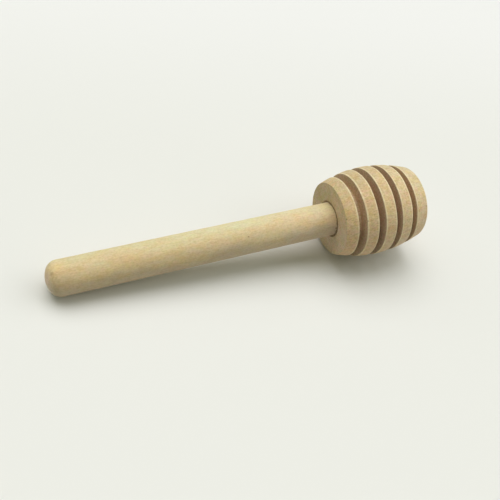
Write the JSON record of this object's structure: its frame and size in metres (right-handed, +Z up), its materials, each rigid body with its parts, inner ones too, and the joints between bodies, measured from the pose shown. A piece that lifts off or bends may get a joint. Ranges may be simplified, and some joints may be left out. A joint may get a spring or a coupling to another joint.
{
  "type": "honey dipper",
  "caption": "Small turned wooden honey dipper: a barrel-shaped head cut with deep ring grooves, glued on a plain round-ended dowel handle.",
  "frame": {"origin": "on the surface that the dipper lies on, under the middle of its bounding box", "axes": "+X from the handle's free end towards the ribbed head, +Z up from the surface; the dipper's own axis lies in the XZ plane and rises towards the head, as it does at rest"},
  "size_m": [0.08, 0.0194, 0.0195],
  "materials": {
    "head_wood": "matte",
    "handle_wood": "matte"
  },
  "bodies": {
    "root": {"dipper_head": "head_wood", "handle": "handle_wood"}
  },
  "joints": []
}
